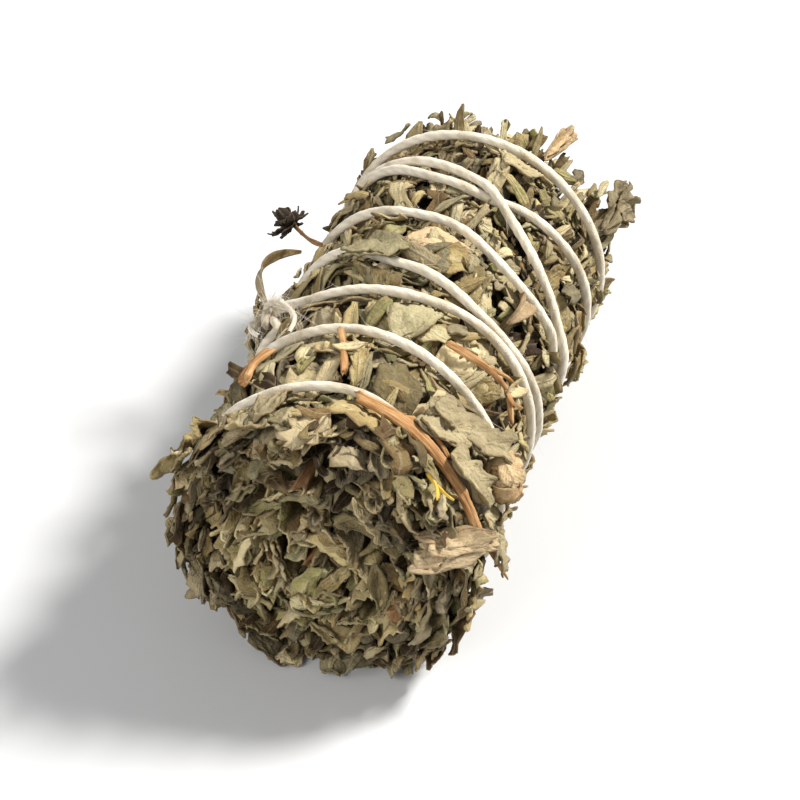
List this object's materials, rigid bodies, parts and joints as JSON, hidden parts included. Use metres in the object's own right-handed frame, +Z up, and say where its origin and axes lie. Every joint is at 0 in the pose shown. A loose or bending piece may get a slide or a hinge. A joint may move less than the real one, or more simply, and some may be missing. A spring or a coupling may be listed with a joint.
{
  "type": "mugwort smudge stick",
  "caption": "Short bundle of dried mugwort sprigs pressed into a thick stick and wound with cotton twine, knotted at one side, lying on its side.",
  "frame": {"origin": "centre of the underside that the bundle lies on", "axes": "+Y along the bundle from its cut end to its leaf tips, +Z up, +X to the right seen from the cut end"},
  "size_m": [0.0544, 0.0894, 0.0445],
  "materials": {
    "dried_leaf": "matte crumpled dried leaf, grey-olive with a pale felted underside",
    "tan_leaf": "matte dry leaf, faded to tan",
    "dark_bud": "matte shrivelled flower head, near black-brown",
    "woody_stem": "matte dry woody stem, orange-brown",
    "cotton_twine": "matte fuzzy cotton twine, warm off-white"
  },
  "bodies": {
    "root": {"sprig_1": "dried_leaf", "sprig_2": "dried_leaf", "sprig_3": "dried_leaf", "sprig_4": "dried_leaf", "sprig_5": "dried_leaf", "sprig_6": "dried_leaf", "sprig_centre": "dried_leaf", "stem_1": "woody_stem", "stem_2": "woody_stem", "stem_3": "woody_stem", "stem_4": "woody_stem", "stem_5": "woody_stem", "stem_6": "woody_stem", "stem_centre": "woody_stem", "twig_top": "woody_stem", "twig_left": "woody_stem", "twig_long": "woody_stem", "twig_forked": "woody_stem", "twig_low": "woody_stem", "bud_stalk": "woody_stem", "yellow_shoot": "tan_leaf", "leaf_top_tan": "tan_leaf", "leaf_top_edge": "dried_leaf", "leaf_green": "dried_leaf", "leaf_orange_fold": "tan_leaf", "leaf_right_fold": "dried_leaf", "leaf_over_twine": "dried_leaf", "leaf_cover_upper": "dried_leaf", "leaf_cover_lower": "dried_leaf", "leaf_cover_side": "dried_leaf", "leaf_left_long": "dried_leaf", "leaf_left_clump": "dried_leaf", "leaf_left_low": "dried_leaf", "leaf_near_rolled": "tan_leaf", "leaf_near_flap": "dried_leaf", "leaf_near_left": "dried_leaf", "leaf_tip_curled": "tan_leaf", "leaf_tip_right": "dried_leaf", "leaf_back_left": "dried_leaf", "leaf_right_side": "dried_leaf", "leaf_right_far": "dried_leaf", "leaf_top_far": "dried_leaf", "dark_bud": "dark_bud", "leaf_ball": "tan_leaf", "twine": "cotton_twine"}
  },
  "joints": []
}
